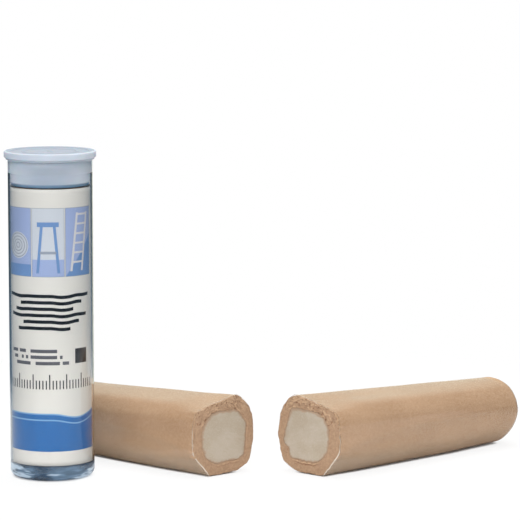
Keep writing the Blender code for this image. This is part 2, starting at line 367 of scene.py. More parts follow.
def milkyPolythene():
    # palest at the flange's side and darkest at the plug's end, which carries a painted shadow of the gap
    # below it;
    # the top disc has painted shade, and the plug's sides and a band under the flange have painted light
    g = Graph("milkyPolythene")
    cloud = g.noise(*cap["cloud"])
    fine = g.noise(*cap["fine"])
    x, y, high = g.axes()
    out = (x ** 2 + y ** 2) ** 0.5
    under = cap["high"] - cap["flange"]
    above = g.band(high, *offset(under, cap["flangeFade"]))
    thick = above * g.band(out, *offset(cap["radius"], cap["rimFade"]))
    # painted light on the plug's sides
    plug = g.mix((x / out) ** 2, cap["plug"], cap["plugSidePaintedLight"])
    # painted shade on the top disc
    colour = g.mix(thick, g.mix(above, plug, cap["discPaintedShade"]), cap["colour"])
    colour = g.mix(g.band(cloud, *cap["cloudEdge"]) * thick, colour, cap["shade"])
    # painted light on the plug just under the flange, where the flange's shadow falls
    neckLight = g.band(high, *offset(under, cap["neckLightFade"]), *cap["neckLightShare"])
    colour = g.mix(neckLight * (1 - above), colour, cap["colour"])
    # painted shadow of the gap below the plug's end
    foot = g.band(high, *offset(cap["plugEnd"], cap["gapShadowFade"]), 1.0, 0.0)
    colour = g.mix(foot, colour, cap["foot"])
    shine = cap["roughness"] + (cloud - 0.5) * cap["cloudShine"]
    body = g.principled(Base_Color=colour, Roughness=shine, Specular_IOR_Level=cap["specular"],
                        Subsurface_Weight=cap["scatter"], Subsurface_Scale=cap["scatterDepth"],
                        Normal=g.bump(fine, *cap["fineBump"]))
    return g.output(body)


def buildCap():
    # from the middle of the top over its ring, dish and flange, down the plug and up into its hollow
    top = cap["high"]
    dish = top - cap["dish"]
    rise, soft = cap["ringRise"], cap["ringRound"]
    ring = dish + rise
    inner, outer = cap["ringRadius"] - cap["ringHalf"], cap["ringRadius"] + cap["ringHalf"]
    under = top - cap["flange"]
    step, stepRadius = under + cap["step"], cap["radius"] - cap["stepInset"]
    plug, low, ceiling = cap["plugRadius"], cap["plugEnd"], top - cap["thick"]
    profile = filleted([
        (0, ring, 0), (cap["gate"] - rise, ring, soft), (cap["gate"], dish, soft),
        (inner, dish, soft), (inner + rise, ring, soft), (outer - rise, ring, soft), (outer, dish, soft),
        (cap["dishRadius"], dish, 0.15 * mm), (cap["dishRadius"] + cap["dishSlope"], top, 0.15 * mm),
        (cap["radius"], top, 0.4 * mm), (cap["radius"], step, 0.3 * mm),
        (stepRadius, step - cap["stepSlope"], 0.1 * mm), (stepRadius, under, 0.2 * mm),
        (plug, under, 0.15 * mm), (plug, low + cap["taperHigh"], 3.0 * mm),
        (plug - cap["plugTaper"], low, 0.5 * mm),
        (plug - cap["wall"] - cap["plugTaper"], low, 0.2 * mm), (plug - cap["wall"], ceiling, 0.6 * mm),
        (0, ceiling, 0),
    ], cap["arcSteps"])
    made = turnedObject("capShell", profile, cap["sides"])
    dress(made, milkyPolythene(), "cap", "frosted_polythene", "plug_cap")
    print("cap", len(made.data.polygons))


buildCap()


# Printed roll

rollLow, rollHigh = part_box("printed_roll")
roll = {
    "radius": 11.97 * mm, "sheet": 0.12 * mm, "low": rollLow.z, "high": rollHigh.z,
    "seamTurn": np.radians(125), "lap": 0.45, "lapDrop": 0.16 * mm, "lapEase": 0.25,
    "steps": 360, "rows": 60,
    "ground": srgb(224, 221, 212), "ink": srgb(16, 16, 18), "blue": srgb(8, 100, 168),
    "halo": srgb(120, 172, 208), "paleBlue": srgb(160, 176, 212), "deepBlue": srgb(112, 147, 194),
    "grey": srgb(204, 209, 214), "line": srgb(150, 158, 168), "white": srgb(216, 214, 210),
    "fineInk": srgb(92, 92, 96),
    "fibre": (900, 4), "fibreEdge": (0.3, 0.75, 0.0, 0.03), "fibreShine": 0.15,
    "fibreBump": (0.08, 0.04 * mm), "roughness": 0.42, "specular": 0.1,
}
roll["width"] = roll["radius"] * (fullTurn + roll["lap"])
roll["height"] = roll["high"] - roll["low"]
# the print's places and sizes, in millimetres
label = {
    "frieze": {"middles": (-9.9, 0.0, 9.9), "half": 4.7, "low": 61.0, "high": 81.0, "border": 0.15},
    "log": {"ground": 64.5, "high": 70.0, "radius": 3.9, "ring": 0.9, "ringGap": 0.72},
    "stool": {"floor": 66.0, "seat": (75.6, 77.0), "seatHalf": 3.2, "bar": (67.6, 68.4), "barHalf": 2.4,
              "foot": 62.0, "footOut": 3.1, "splay": 0.09, "legHalf": 0.42, "legs": (69.0, 7.0)},
    "ladder": {"slope": 1.3, "middle": 71.0, "lean": 0.12, "half": 1.9, "railHalf": 0.35, "railReach": 8.6,
               "rungFrom": 62.0, "rungPitch": 2.8, "rungShare": 0.2, "rungReach": 8.4},
    "strokes": {"rows": 6, "left": -14.0, "right": 13.5, "high": 55.2, "pitch": 1.9, "half": 0.5, "sway": 4.0,
                "noise": (0.09, 1)},
    "notes": {"rows": 3, "left": -13.0, "right": 3.0, "grow": 1.5, "high": 39.4, "pitch": 1.8, "seed": 11},
    "block": (8.0, 12.5, 35.0, 39.4),
    "ruler": {"left": -15.0, "right": 15.2, "low": 27.6, "short": 30.2, "long": 32.0, "tick": 0.36,
              "longEach": 5.0, "longShare": 0.2},
    "foot": {"reach": (18.0, 9.0), "edge": 20.0, "halo": 20.4, "line": 18.4, "lineHalf": 0.2, "swell": 9.0,
             "noise": (0.07, 0)},
    "back": {"rows": 14, "left": -45.0, "right": -24.0, "high": 79.0, "pitch": 2.6, "block": 5, "gap": 2.0,
             "seed": 41},
    "dash": 0.8, "dashGap": 0.22, "dashTall": 1.0, "seedStep": 977.0,
}


def printedPaper():
    # u runs round the roll from the side that faces -Y, and v up from the surface, both in millimetres
    g = Graph("printedPaper")
    across, tall = g.axes("UV")[:2]
    wide = roll["width"] / mm
    front = (roll["seamTurn"] + roll["lap"]) * roll["radius"] / mm
    u = across * wide - (wide - front)
    v = tall * (roll["height"] / mm) + roll["low"] / mm
    alongU = g.add("ShaderNodeCombineXYZ", {}, {0: u})
    colour = roll["ground"]

    def paint(mask, ink):
        nonlocal colour
        colour = g.mix(mask, colour, roll[ink])

    def panel(middle, half, low, high):
        # 1 in an upright box about a middle line
        return u.near(middle, half) * v.near((low + high) / 2, (high - low) / 2)

    def box(left, right, low, high):
        return panel((left + right) / 2, (right - left) / 2, low, high)

    def past(value):
        # how far a value is past its last whole number
        return value - value.floor()

    def dashes(left, right, high, seed):
        # a line of plain dashes: one random number for each step leaves the gaps
        step = (u / label["dash"]).floor() + seed * label["seedStep"]
        chance = g.add("ShaderNodeTexWhiteNoise", {"noise_dimensions": "1D"}, {"W": step})
        return box(left, right, high - label["dashTall"], high) * (chance > label["dashGap"])

    # a frieze of three pictures: a log's end, a stool and a ladder
    frieze, log, stool, ladder = (label[key] for key in ("frieze", "log", "stool", "ladder"))
    half, low, high, border = (frieze[key] for key in ("half", "low", "high", "border"))
    for middle in frieze["middles"]:
        paint(panel(middle, half + border, low - border, high + border), "line")
        paint(panel(middle, half, low, high), "paleBlue")
    atLog, atStool, atLadder = frieze["middles"]
    paint(panel(atLog, half, low, log["ground"]), "deepBlue")
    fromLog = ((u - atLog) ** 2 + (v - log["high"]) ** 2) ** 0.5
    inLog = fromLog < log["radius"]
    paint(inLog, "grey")
    paint(inLog * (past(fromLog / log["ring"]) > log["ringGap"]), "line")
    paint(panel(atStool, half, low, high), "grey")
    paint(panel(atStool, half, low, stool["floor"]), "paleBlue")
    paint(panel(atStool, stool["seatHalf"], *stool["seat"]), "deepBlue")
    leg = abs(abs(u - atStool) - (stool["footOut"] - (v - stool["foot"]) * stool["splay"]))
    paint((leg < stool["legHalf"]) * v.near(*stool["legs"]), "deepBlue")
    paint(panel(atStool, stool["barHalf"], *stool["bar"]), "line")
    slope = (v - low) < (u - atLadder + half) * ladder["slope"]
    paint(panel(atLadder, half, low, high) * slope, "deepBlue")
    lean = u - atLadder - (v - ladder["middle"]) * ladder["lean"]
    rails = abs(abs(lean) - ladder["half"]) < ladder["railHalf"]
    rails = rails * v.near(ladder["middle"], ladder["railReach"])
    rungs = past((v - ladder["rungFrom"]) / ladder["rungPitch"]) < ladder["rungShare"]
    rungs = rungs * lean.near(0.0, ladder["half"]) * v.near(ladder["middle"], ladder["rungReach"])
    paint(rails.most(rungs), "white")

    # bold strokes of wood grain with uneven ends
    strokes = label["strokes"]
    sway = (g.noise(*strokes["noise"], vector=alongU) - 0.5) * strokes["sway"]
    for row in range(strokes["rows"]):
        left = strokes["left"] + row * 5 % 7
        right = strokes["right"] - row * 3 % 8
        stroke = abs(v - strokes["high"] + row * strokes["pitch"] - sway) < strokes["half"]
        paint(stroke * u.near((left + right) / 2, (right - left) / 2), "ink")

    # fine dashes, a block and a ruler's plain ticks
    notes, ruler = label["notes"], label["ruler"]
    for row in range(notes["rows"]):
        left = notes["left"] + row
        right = notes["right"] + row * notes["grow"]
        paint(dashes(left, right, notes["high"] - row * notes["pitch"], notes["seed"] + row), "fineInk")
    paint(box(*label["block"]), "ink")
    tick = past(u) < ruler["tick"]
    longTick = tick * (past(u / ruler["longEach"]) < ruler["longShare"])
    paint(box(ruler["left"], ruler["right"], ruler["low"], ruler["short"]) * tick, "ink")
    paint(box(ruler["left"], ruler["right"], ruler["low"], ruler["long"]) * longTick, "ink")

    # a blue band round the foot, with a wavy edge
    foot = label["foot"]
    wave = v - (g.noise(*foot["noise"], vector=alongU) - 0.5) * foot["swell"]
    reach = v.near(*foot["reach"])
    paint(reach * (wave < foot["halo"]), "halo")
    paint(reach * (wave < foot["edge"]), "blue")
    paint(reach * (abs(wave - foot["line"]) < foot["lineHalf"]), "halo")

    # fine dashes round the back, in blocks of lines with uneven ends
    back = label["back"]
    for row in range(back["rows"]):
        level = back["high"] - row * back["pitch"] - row // back["block"] * back["gap"]
        paint(dashes(back["left"], back["right"] - row * 7 % 9, level, back["seed"] + row), "fineInk")

    fibre = g.noise(*roll["fibre"])
    worn = g.mix(g.band(fibre, *roll["fibreEdge"]), colour, roll["line"])
    shine = roll["roughness"] + (fibre - 0.5) * roll["fibreShine"]
    body = g.principled(Base_Color=worn, Roughness=shine, Specular_IOR_Level=roll["specular"],
                        Normal=g.bump(fibre, *roll["fibreBump"]))
    return g.output(body)


def buildRoll():
    # a sheet carried round a spiral: its radius drops under the lap, so the two ends pass each other
    turn = np.linspace(0, fullTurn + roll["lap"], roll["steps"])
    radius = roll["radius"] - roll["lapDrop"] * ease((turn - fullTurn + roll["lapEase"]) / roll["lapEase"])
    height = np.linspace(roll["low"], roll["high"], roll["rows"])
    # the sheet's section: up the printed face, then down the plain one
    up = join([height, height[::-1]])
    inset = join([np.zeros(roll["rows"]), np.full(roll["rows"], roll["sheet"])])
    angle = roll["seamTurn"] + roll["lap"] - turn
    wide = radius[:, None] - inset
    points = np.stack([wide * np.sin(angle)[:, None], -wide * np.cos(angle)[:, None], up + 0 * wide], -1)
    across = 1 - turn / turn[-1]
    uv = np.stack([across[:, None] + 0 * wide, (up - roll["low"]) / roll["height"] + 0 * wide], -1)
    made = gridObject("printRoll", points, poles=[points[0].mean(0), points[-1].mean(0)], uv=uv)
    dress(made, printedPaper(), "tube", "printed_paper", "printed_roll")
    print("roll", len(made.data.polygons))


buildRoll()


# Putty and film finishes

putty = {
    "skin": srgb(179, 145, 114), "skinPale": srgb(187, 156, 125), "skinDark": srgb(171, 137, 106),
    "fleck": srgb(157, 120, 89), "fleckPale": srgb(201, 172, 143), "paintedAmberGlow": srgb(196, 138, 60),
    # painted shade along the film's seam and in the cut's hollows, and painted highlights on the cut's crumbs
    "seam": srgb(140, 108, 82), "cut": srgb(165, 135, 110), "cutPale": srgb(177, 147, 120),
    "cutHollowShade": srgb(132, 94, 70), "crumbLightAndSeamShade": srgb(208, 175, 143),
    "broad": (70, 3), "broadEdge": (0.35, 0.65), "broadShine": 0.15,
    "speck": (1900, 3, 0.6), "speckEdge": (0.45, 0.75, 0.0, 0.5),
    "mottle": (1400, 3, 0.7), "fleckEdge": (0.50, 0.66, 0.0, 0.40),
    "fleckPaleEdge": (0.36, 0.50, 0.26, 0.0),
    "crumbs": (1300, 4, 0.65), "crumbEdge": (0.38, 0.62),
    "crumbHigh": 3.0, "speckHigh": 0.3, "bump": (0.35, 0.12 * mm), "specular": 0.15,
    "skinShine": 0.45, "skinCoat": 0.62, "coatRoughness": 0.14, "cutShine": 0.85,
}
coreLook = {
    "core": srgb(181, 169, 153), "corePale": srgb(192, 181, 166), "coreDarkToneAndShade": srgb(172, 158, 139),
    "broad": (160, 3), "broadEdge": (0.35, 0.65),
    "fine": (2400, 3, 0.6), "fineEdge": (0.45, 0.75, 0.0, 0.5),
    "fineShine": 0.2, "shine": 0.78, "bump": (0.25, 0.06 * mm),
}
filmLook = {
    "film": srgb(186, 164, 137), "edge": srgb(242, 230, 216), "folds": srgb(190, 204, 218),
    "edgeHaze": (0.2, 0.6), "foldHaze": (0.7, 0.8), "lampTint": (1, 1, 1, 1),
    "wave": (500, 2), "waveShine": 0.1, "shine": 0.28, "bump": (0.1, 0.05 * mm),
}


def tanPutty():
    # smooth under the film; where the mark "cut" is 1 it is crumbly, with painted shade in its hollows from
    # one mark and painted highlights on its crumbs' tops from another; on the skin the first mark is a
    # painted amber glow and the second is painted shade along the film's seam
    g = Graph("tanPutty")
    cut, paintedShadeAndGlow, top = (g.mark(key) for key in ("cut", "paintedShadeAndGlow", "crumbLightAndSeamShade"))
    broad, speck, mottle, crumbs = (g.noise(*putty[key]) for key in ("broad", "speck", "mottle", "crumbs"))
    skin = g.mix(g.band(broad, *putty["broadEdge"]), putty["skinDark"], putty["skin"])
    skin = g.mix(g.band(speck, *putty["speckEdge"]), skin, putty["skinPale"])
    skin = g.mix(g.band(mottle, *putty["fleckEdge"]), skin, putty["fleck"])
    skin = g.mix(g.band(mottle, *putty["fleckPaleEdge"]), skin, putty["fleckPale"])
    # painted amber glow at the far corner and painted shade along the film's seam
    skin = g.mix(top, g.mix(paintedShadeAndGlow, skin, putty["paintedAmberGlow"]), putty["seam"])
    rough = g.mix(g.band(crumbs, *putty["crumbEdge"]), putty["cut"], putty["cutPale"])
    # painted shade in the cut's hollows and painted highlights on its crumbs
    rough = g.mix(top, g.mix(paintedShadeAndGlow, rough, putty["cutHollowShade"]), putty["crumbLightAndSeamShade"])
    shine = putty["skinShine"] + (broad - 0.5) * putty["broadShine"]
    shine = shine + cut * (putty["cutShine"] - putty["skinShine"])
    lumps = crumbs * cut * putty["crumbHigh"] + speck * putty["speckHigh"]
    coat = (1 - cut) * (1 - paintedShadeAndGlow) * putty["skinCoat"]
    body = g.principled(Base_Color=g.mix(cut, skin, rough), Roughness=shine, Coat_Weight=coat,
                        Specular_IOR_Level=putty["specular"], Coat_Roughness=putty["coatRoughness"],
                        Normal=g.bump(lumps, *putty["bump"]))
    return g.output(body)


def palePutty():
    # its painted-shade mark darkens it at the face's border and along drag grooves, and "smear" is the share
    # of the other putty drawn over it by the knife
    g = Graph("palePutty")
    broad, fine = (g.noise(*coreLook[key]) for key in ("broad", "fine"))
    colour = g.mix(g.band(broad, *coreLook["broadEdge"]), coreLook["coreDarkToneAndShade"], coreLook["core"])
    colour = g.mix(g.band(fine, *coreLook["fineEdge"]), colour, coreLook["corePale"])
    # painted shade at the mark, in the dark tone that also varies at random
    colour = g.mix(g.mark("smear"), g.mix(g.mark("paintedShadeAndGlow"), colour, coreLook["coreDarkToneAndShade"]), putty["cut"])
    shine = coreLook["shine"] + (fine - 0.5) * coreLook["fineShine"]
    lumps = g.bump(fine, *coreLook["bump"])
    return g.output(g.principled(Base_Color=colour, Roughness=shine, Normal=lumps))


def clearFilm():
    # nearly clear; the mark "haze" is how much of it shows: as putty's sheen on laps, as painted light low on
    # the cut sticks' front, milky at edges and bluish in the folds of its ends
    g = Graph("clearFilm")
    haze = g.mark("haze")
    wave = g.noise(*filmLook["wave"])
    colour = g.mix(g.band(haze, *filmLook["edgeHaze"]), filmLook["film"], filmLook["edge"])
    colour = g.mix(g.band(haze, *filmLook["foldHaze"]), colour, filmLook["folds"])
    shine = filmLook["shine"] + (wave - 0.5) * filmLook["waveShine"]
    lumps = g.bump(wave, *filmLook["bump"])
    body = g.principled(Base_Color=colour, Roughness=shine, Alpha=haze, Normal=lumps)
    return g.output(g.lampsPass(body, filmLook["lampTint"]))


tanSurface = tanPutty()
paleSurface = palePutty()
filmSurface = clearFilm()


# Cut sticks

stick = {
    "length": 82.0 * mm, "turn": np.radians(47.7), "faceX": 76.5 * mm, "faceY": -1.0 * mm,
    "mirrorX": 63.7 * mm,
    "facets": ((357, 11.4), (40, 12.9), (82, 11.6), (125, 13.7), (180, 11.5), (240, 12.5), (270, 11.4),
               (316, 12.5)),
    "sharpness": 18,
    "endFacets": ((4, 11.4), (39, 12.75), (76, 10.75), (124, 13.4), (146, 13.2), (172, 12.1), (192, 12.05),
                  (220, 13.8), (243, 12.4), (268, 11.35), (320, 11.45)),
    "endSharpness": 28, "endReach": 16.0 * mm,
    "farScale": 0.837, "farRoundness": 0.86, "farPower": 4, "farRound": 3.0 * mm,
    "farLow": 2.4 * mm, "lowTurn": np.radians(292), "lowFrom": 0.3,
    "slant": np.radians(7.4), "slantFade": 25.0 * mm, "inset": 0.12 * mm, "rim": 0.25 * mm,
    "dents": (11 * mm, 5, 2), "dentRing": 12 * mm, "dentStretch": 0.45, "dentDeep": 0.16 * mm,
    "dentFrom": 6 * mm, "columns": 480, "faceRows": 34, "rimRows": 5, "bodyRows": 52, "rowGather": 1.5,
    "cornerRows": 12, "endRows": 6, "boreRows": 8,
}
# the two cut ends: the way each lies, its own grain, and how strong the knife's marks on it are
faces = {
    "left": {"side": -1, "seed": 100, "notch": 0.3, "torn": 0.7, "ledge": 0.4, "edge": 0.6,
             "facets": ((4, 7.9), (40, 8.2), (68, 8.3), (92, 7.8), (140, 9.2), (184, 8.9), (234, 9.9),
                        (267, 7.8), (300, 8.4), (338, 8.3))},
    "right": {"side": 1, "seed": 0, "notch": 1.0, "torn": 1.0, "ledge": 1.0, "edge": 0.5,
              "facets": ((0, 7.45), (31, 8.1), (58, 8.2), (87, 7.8), (162, 9.1), (212, 9.65),
                         (267, 7.7), (293, 7.85), (318, 7.95), (342, 7.8))},
}
around = np.linspace(0, fullTurn, stick["columns"], endpoint=False)


def column(values):
    # one value for each row of a grid
    return np.asarray(values, float)[:, None]


def steps(count):
    # even steps that leave out 0 and end at 1
    return column(np.linspace(0, 1, count + 1)[1:])


def between(start, end, count):
    # even steps that leave out both ends
    return column(np.linspace(start, end, count + 2)[1:-1])


def bell(distance, width):
    # 1 at no distance, and e to the power of -1 at the width
    return np.exp(-(distance / width) ** 2)


def fromTurn(turn):
    # angle between each column and a turn, 0 to half a turn
    return np.abs((around - turn + halfTurn) % fullTurn - halfTurn)


def nearTurn(turn, reach):
    # 1 up to half the reach from a turn, easing to 0 at one and a half times the reach
    return ease(1.5 - fromTurn(turn) / reach)


def ringSpots(radius, height=0.0):
    # the points of rings about an axis: r cos t, r sin t and their height
    return np.stack(np.broadcast_arrays(radius * np.cos(around), radius * np.sin(around), height), -1)


def faceGrain(spots, pattern, face):
    # a pattern is a cell, a seed and octaves, and each cut face has its own
    cell, seed, octaves = pattern
    return grain(spots, cell, seed + face["seed"], octaves)


def facetRadius(facets, sharpness):
    # a rounded polygon: the facets' distances joined by a power mean, so that its corners are soft
    total = 0
    for normal, distance in facets:
        share = np.maximum(np.cos(around - np.radians(normal)), 0) / (distance * mm)
        total = total + share ** sharpness
    return total ** (-1 / sharpness)


bodyRound = facetRadius(stick["facets"], stick["sharpness"])
endRound = facetRadius(stick["endFacets"], stick["endSharpness"])
bodyMean = bodyRound.mean()
atCut = column([0])


def outerRadius(along):
    # crisp facets at the cut end, softer ones behind it, fading towards a smaller circle at the far end
    share = np.clip(along / stick["length"], 0, 1)
    scale = 1 - (1 - stick["farScale"]) * share
    pressed = 1 - ease(along / stick["endReach"])
    facets = bodyRound + (endRound - bodyRound) * pressed
    return scale * (facets + (bodyMean - facets) * stick["farRoundness"] * share ** stick["farPower"])


def lieHeight(along):
    # the middle's height when the lowest facet touches the floor all along
    return np.max(-outerRadius(along) * np.sin(around), -1, keepdims=True)


def laid(along, radius, side, ahead=0.0):
    # a section across the stick at "along", moved "ahead" towards the knife, leaning with its slant near the
    # cut and never below the floor
    wide = radius * np.cos(around)
    lean = np.tan(stick["slant"]) * np.clip(1 - along / stick["slantFade"], 0, None)
    far = along + lean * wide - ahead
    axis = np.array([side * np.sin(stick["turn"]), np.cos(stick["turn"])])
    across = np.array([side * np.cos(stick["turn"]), -np.sin(stick["turn"])])
    faceX = stick["faceX"] if side > 0 else 2 * stick["mirrorX"] - stick["faceX"]
    x = faceX + axis[0] * far + across[0] * wide
    y = stick["faceY"] + axis[1] * far + across[1] * wide
    z = lieHeight(along) + radius * np.sin(around)
    return np.stack([x, y, np.maximum(z, 0)], -1)


def skinRows(start, inset, bodyRows):
    # distances along and insets, from the cut end to the far end's corner, which is rounder low in front
    low = ease((np.cos(around - stick["lowTurn"]) - stick["lowFrom"]) / (1 - stick["lowFrom"]))
    corner = stick["farRound"] + stick["farLow"] * low - inset
    straight = stick["length"] - inset - corner
    body = start + (straight - start) * column(np.linspace(0, 1, bodyRows)) ** stick["rowGather"]
    bend = column(np.linspace(0, quarterTurn, stick["cornerRows"] + 1)[1:])
    along = join([body, straight + corner * np.sin(bend)])
    drop = join([np.full(body.shape, inset), inset + corner * (1 - np.cos(bend))])
    return along, drop


def skinRadius(along, drop, side):
    # the outer radius less its inset, with slow dents and swellings left by fingers
    dents = grain(ringSpots(stick["dentRing"], along * stick["dentStretch"]) + side, *stick["dents"])
    return outerRadius(along) - drop + stick["dentDeep"] * dents * ease(along / stick["dentFrom"])


# Cores of the cut sticks

core = {
    "sharpness": 26, "notchTurn": np.radians(209), "notchWide": np.radians(5), "notchDeep": 0.65 * mm,
    "ragged": (1.1 * mm, 61, 3), "raggedRing": 9 * mm, "raggedDeep": 0.16 * mm,
    "end": 0.76, "endFrom": 8.0 * mm, "endInset": 0.4 * mm, "gap": 0.05 * mm,
    "faceRows": 40, "bodyFrom": 0.3 * mm, "bodyRows": 16,
    "drag": (0.45 * mm, 31, 2), "dragHigh": 0.03 * mm, "dragDark": 0.35,
    "dragTurn": ((0.94, 0.34, 0), (-0.34, 0.94, 0), (0, 0, 1)), "dragStretch": (0.2, 1.0, 1.0),
    "slow": (4 * mm, 32, 2), "slowHigh": 0.10 * mm,
    "edgeDrop": 0.12 * mm, "edgePower": 18, "edgeDark": 0.8, "darkPower": 22,
    "smear": (0.6 * mm, 33, 3), "smearMost": 0.75, "smearRagged": 0.45, "smearFrom": 0.95, "smearWide": 0.07,
    "smearTorn": 0.03, "smearEnd": 0.8, "smearEndWide": 0.1, "smearEndTorn": 0.05,
}
# where the knife tore the top of each cut face
torn = {"turn": np.radians(82), "reach": np.radians(56), "fade": np.radians(25)}
tornTop = ease((torn["reach"] - fromTurn(torn["turn"])) / torn["fade"] + 0.5)
coreNotch = core["notchDeep"] * bell(fromTurn(core["notchTurn"]), core["notchWide"])
for face in faces.values():
    ragged = core["raggedDeep"] * faceGrain(ringSpots(core["raggedRing"]), core["ragged"], face)
    face["core"] = facetRadius(face["facets"], core["sharpness"]) - face["notch"] * coreNotch + ragged


def coreRadius(along, face):
    # an uneven rounded polygon that shrinks with the stick and draws in at its far end
    share = np.clip(along / stick["length"], 0, 1)
    end = np.clip((along - stick["length"]) / core["endFrom"] + 1, 0, 1)
    return face["core"] * (1 - (1 - stick["farScale"]) * share) * (1 - (1 - core["end"]) * end)


def buildCore(name, face):
    # rows from the middle of the cut face to its border, then along the stick to its far end
    side = face["side"]
    share = steps(core["faceRows"])
    faceR = coreRadius(atCut, face) * share
    spot = ringSpots(faceR)
    drag = faceGrain(spot @ np.array(core["dragTurn"]).T * core["dragStretch"], core["drag"], face)
    slow = faceGrain(spot, core["slow"], face)
    height = core["dragHigh"] * drag + core["slowHigh"] * slow
    height = height - core["edgeDrop"] * share ** core["edgePower"]
    # painted shade at the face's border and along the drag grooves
    paintedShadeAndGlow = np.clip(core["edgeDark"] * share ** core["darkPower"] - core["dragDark"] * drag, 0, 1)
    along = column(np.linspace(core["bodyFrom"], stick["length"] - core["endInset"], core["bodyRows"]))
    points = join([laid(atCut, faceR, side, height), laid(along, coreRadius(along, face), side)])
    # the other putty is smeared over the border, further in where the knife tore
    rim = (share - core["smearFrom"] + core["smearTorn"] * tornTop) / core["smearWide"]
    smear = core["smearMost"] * ease(rim + 0.5 + core["smearRagged"] * faceGrain(spot, core["smear"], face))
    end = (share - core["smearEnd"] + core["smearEndTorn"] * tornTop) / core["smearEndWide"]
    smear = smear * ease(end)
    rest = np.zeros((len(along), len(around)))
    marks = {"paintedShadeAndGlow": join([paintedShadeAndGlow, rest]), "smear": join([smear, rest])}
    made = gridObject(name + "Core", points, poles=[points[0].mean(0), points[-1].mean(0)], marks=marks)
    dress(made, paleSurface, name + "_stick", "pale_putty", name + "_core")


# Film of the cut sticks

film = {
    "thick": 0.05 * mm, "rim": 0.3 * mm, "hole": 1.5 * mm, "bodyRows": 46, "endRows": 25,
    "wave": (2.2 * mm, 41, 4), "waveRing": 12 * mm, "waveReach": 0.25 * mm,
    "proud": (np.radians(322), np.radians(28)), "proudReach": 0.45 * mm, "startFade": 6 * mm,
    "lift": 0.16 * mm, "liftFade": 0.5 * mm, "liftShare": (0.6, 0.6),
    "lapTurn": np.radians(14), "lapDroop": np.radians(26), "lapFrom": 45.0 * mm, "lapReach": np.radians(70),
    "lapFade": np.radians(20), "lapSoft": 14, "lapSharper": 12, "lapHaze": 0.11, "clearHaze": 0.03,
    "under": (np.radians(312), np.radians(22)), "lowerPaintedLight": 0.22, "underFade": 0.75,
    "upper": (np.radians(92), np.radians(26)), "upperShare": 0.5, "front": (0.0, np.radians(20)),
    "seenLeast": 0.25, "rimHaze": 0.65, "rimWide": 0.35 * mm, "lip": 0.3 * mm, "lipWide": 0.2 * mm,
    "endHaze": 0.10, "middleHaze": 0.25, "foldHaze": 0.55, "foldRise": 2, "foldWide": 0.16, "hazeMost": 0.9,
    "pleats": 13, "pleatTwist": 3.0, "pleatUneven": 1.5, "pleatWaves": 3, "pleatHigh": 0.35 * mm,
    "pleatRise": 2.5, "flatFrom": 0.8, "flatOver": 0.2, "flatShare": 0.6,
}


def lapEdge(along):
    # the turn where the film's lap ends: it droops towards the cut
    return film["lapTurn"] - film["lapDroop"] * np.clip(1 - along / film["lapFrom"], 0, 1) ** 2


def lapHaze(lapped):
    # from the haze of one layer to that of two
    return film["clearHaze"] + (film["lapHaze"] - film["clearHaze"]) * lapped


def pleated(share, seed):
    # the folds of a gathered film end: their height in metres, from 0 at its corner to full near its hole,
    # and how strong their creases are
    uneven = film["pleatUneven"] * np.sin(around * film["pleatWaves"] + seed)
    swirl = around * film["pleats"] + film["pleatTwist"] * share + uneven
    fold = np.abs((swirl / fullTurn) % 1 - 0.5) * 2
    flat = 1 - ease((share - film["flatFrom"]) / film["flatOver"]) * film["flatShare"]
    crease = ease(share * film["foldRise"]) * bell(fold - 1, film["foldWide"])
    return film["pleatHigh"] * ease(share * film["pleatRise"]) * flat * fold, crease


def closing(ring, radius, share):
    # rings that close evenly from one ring to a radius
    return ring * (1 - share) + radius * share


def buildFilm(name, face):
    # a thin shell: outside from its wavy rim to the hole in its gathered end, then back inside
    side = face["side"]
    wave = grain(ringSpots(film["waveRing"], side), *film["wave"])
    proud = nearTurn(*film["proud"])
    start = film["rim"] + film["waveReach"] * wave - film["proudReach"] * proud
    along, drop = skinRows(0.0, 0.0, film["bodyRows"])
    along = along + start * np.exp(-along / film["startFade"])
    fromRim = along - start
    least, more = film["liftShare"]
    lift = film["lift"] * np.exp(-fromRim / film["liftFade"]) * (least + more * wave)
    bodyR = skinRadius(along, drop, side) + lift
    share = steps(film["endRows"])
    endR = closing(bodyR[-1:], film["hole"], share)
    height, crease = pleated(share, side)
    endHaze = film["endHaze"] + film["foldHaze"] * crease + film["middleHaze"] * ease(share)
    # the lap's edge winds a little round the stick, soft at the cut and sharper at the far end
    reach = np.clip(along / stick["length"], 0, 1)
    away = (lapEdge(along) - around + quarterTurn) % fullTurn - quarterTurn
    lapped = ease(away / np.radians(film["lapSoft"] - film["lapSharper"] * reach))
    lapped = lapped * ease((film["lapReach"] - away) / film["lapFade"])
    haze = lapHaze(lapped)
    # painted light on the lower front flank, fading towards the far end
    haze = haze + film["lowerPaintedLight"] * nearTurn(*film["under"]) * (1 - film["underFade"] * reach)
    # the rim is milky and drawn out to a thick lip where it shows
    upper = film["upperShare"] * nearTurn(*film["upper"])
    shown = np.maximum(proud, np.maximum(upper, face["edge"] * nearTurn(*film["front"])))
    seen = film["seenLeast"] + (1 - film["seenLeast"]) * shown
    haze = np.maximum(haze, film["rimHaze"] * seen * bell(fromRim, film["rimWide"]))
    haze = join([haze, np.clip(endHaze, 0, film["hazeMost"]) + 0 * endR])
    lip = film["thick"] + film["lip"] * seen * bell(fromRim, film["lipWide"])
    end = along[-1:]
    outside = [laid(along, bodyR, side), laid(end, endR, side, -height)]
    inside = [laid(along, bodyR - lip, side), laid(end - film["thick"], endR, side, -height)]
    points = join([*outside, join(inside)[::-1]])
    made = gridObject(name + "Film", points, marks={"haze": join([haze, haze[::-1]])})
    dress(made, filmSurface, name + "_stick", "clear_film", name + "_film")


# Jackets of the cut sticks; a pair is a value on the plain rim and what it gains where it is torn

